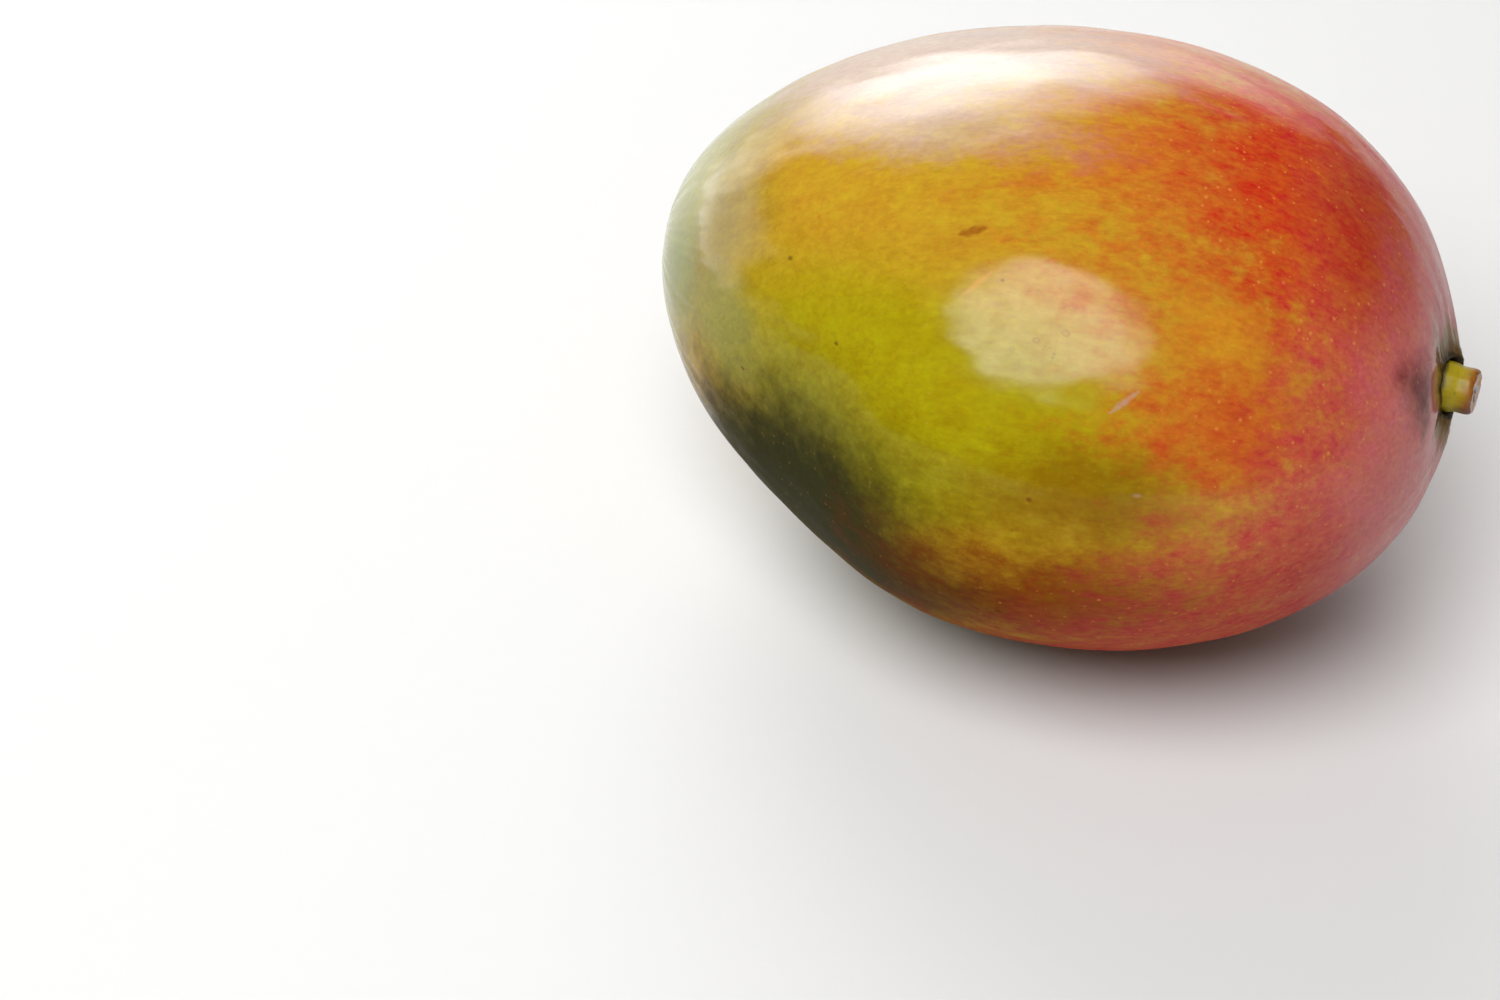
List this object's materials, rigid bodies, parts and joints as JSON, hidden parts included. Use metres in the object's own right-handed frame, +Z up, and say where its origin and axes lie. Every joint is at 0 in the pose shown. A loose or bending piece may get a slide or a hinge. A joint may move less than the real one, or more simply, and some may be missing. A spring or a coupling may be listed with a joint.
{
  "type": "mango",
  "caption": "Whole ripe mango lying on its flatter side, a lopsided egg with waxy skin and the short snapped stub of its stalk in a shallow socket.",
  "frame": {"origin": "centre of the outline, on the surface that the fruit rests on", "axes": "+X along the fruit towards the stalk, +Z up out of the flatter side, -Y the belly side with the slight hollow"},
  "size_m": [0.1234, 0.1042, 0.0825],
  "materials": {
    "mango_skin": "smooth waxy fruit skin, orange-yellow with a red shoulder at the stalk end and green towards the tip, finely streaked and dotted",
    "mango_stalk": "green-yellow stalk with lengthwise ribs, brown at the snapped end"
  },
  "bodies": {
    "root": {"fruit": "mango_skin", "stalk": "mango_stalk"}
  },
  "joints": []
}
